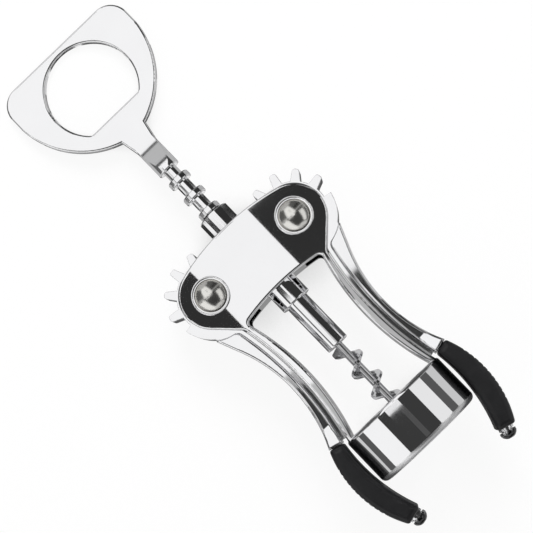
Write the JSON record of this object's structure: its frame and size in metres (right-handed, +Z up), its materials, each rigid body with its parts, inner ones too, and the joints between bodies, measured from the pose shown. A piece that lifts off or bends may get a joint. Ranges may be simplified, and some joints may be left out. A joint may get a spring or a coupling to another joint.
{
  "type": "wing corkscrew",
  "caption": "Wing corkscrew with a bell that sits on the bottle, geared wing levers that lift a ring rack and worm, rubber grips, and a loop handle that also lifts caps.",
  "frame": {"origin": "middle of the bell's mouth, where the bottle enters", "axes": "+Z up the spindle from the bell to the handle, +X to the right-hand lever, front of the tool faces -Y"},
  "size_m": [0.0642, 0.038, 0.1863],
  "materials": {
    "frame_chrome": "polished",
    "lever_chrome": "polished",
    "handle_chrome": "polished",
    "spindle_chrome": "polished",
    "worm_steel": "polished",
    "cap_chrome": "polished",
    "washer_chrome": "polished",
    "rivet_nickel": "satin",
    "grip_rubber": "matt"
  },
  "bodies": {
    "frame": {"frame": "frame_chrome", "upper_guide_bush": "spindle_chrome", "lower_guide_bush": "spindle_chrome", "pivot_rivet_left": "rivet_nickel", "pivot_rivet_right": "rivet_nickel", "rivet_cap_left": "rivet_nickel", "rivet_cap_right": "rivet_nickel", "rivet_washer_front_left": "washer_chrome", "rivet_washer_front_right": "washer_chrome", "rivet_washer_rear_left": "washer_chrome", "rivet_washer_rear_right": "washer_chrome"},
    "left_lever": {"lever_left": "lever_chrome", "grip_left": "grip_rubber", "end_cap_left": "cap_chrome"},
    "right_lever": {"lever_right": "lever_chrome", "grip_right": "grip_rubber", "end_cap_right": "cap_chrome"},
    "rack": {"rack_sleeve": "spindle_chrome"},
    "turning_handle": {"handle": "handle_chrome", "handle_pin": "handle_chrome", "worm": "worm_steel"}
  },
  "joints": [
    {"name": "lever_left_swing", "type": "hinge", "parent": "frame", "child": "left_lever", "pos_m": [-0.0177, 0, 0.0777], "axis": [0, 1, 0], "range_deg": [0, 86]},
    {"name": "lever_right_swing", "type": "hinge", "parent": "frame", "child": "right_lever", "pos_m": [0.0177, 0, 0.0777], "axis": [0, -1, 0], "range_deg": [0, 86]},
    {"name": "rack_slide", "type": "slide", "parent": "frame", "child": "rack", "axis": [0, 0, -1], "range_m": [0, 0.0196]},
    {"name": "handle_turn", "type": "hinge", "parent": "rack", "child": "turning_handle", "pos_m": [0, 0, 0.1163], "axis": [0, 0, 1], "continuous": true}
  ],
  "couplings": [
    {"joint": "lever_right_swing", "follows": "lever_left_swing", "ratio": 1},
    {"joint": "rack_slide", "follows": "lever_left_swing", "m_per_rad": 0.01299}
  ]
}
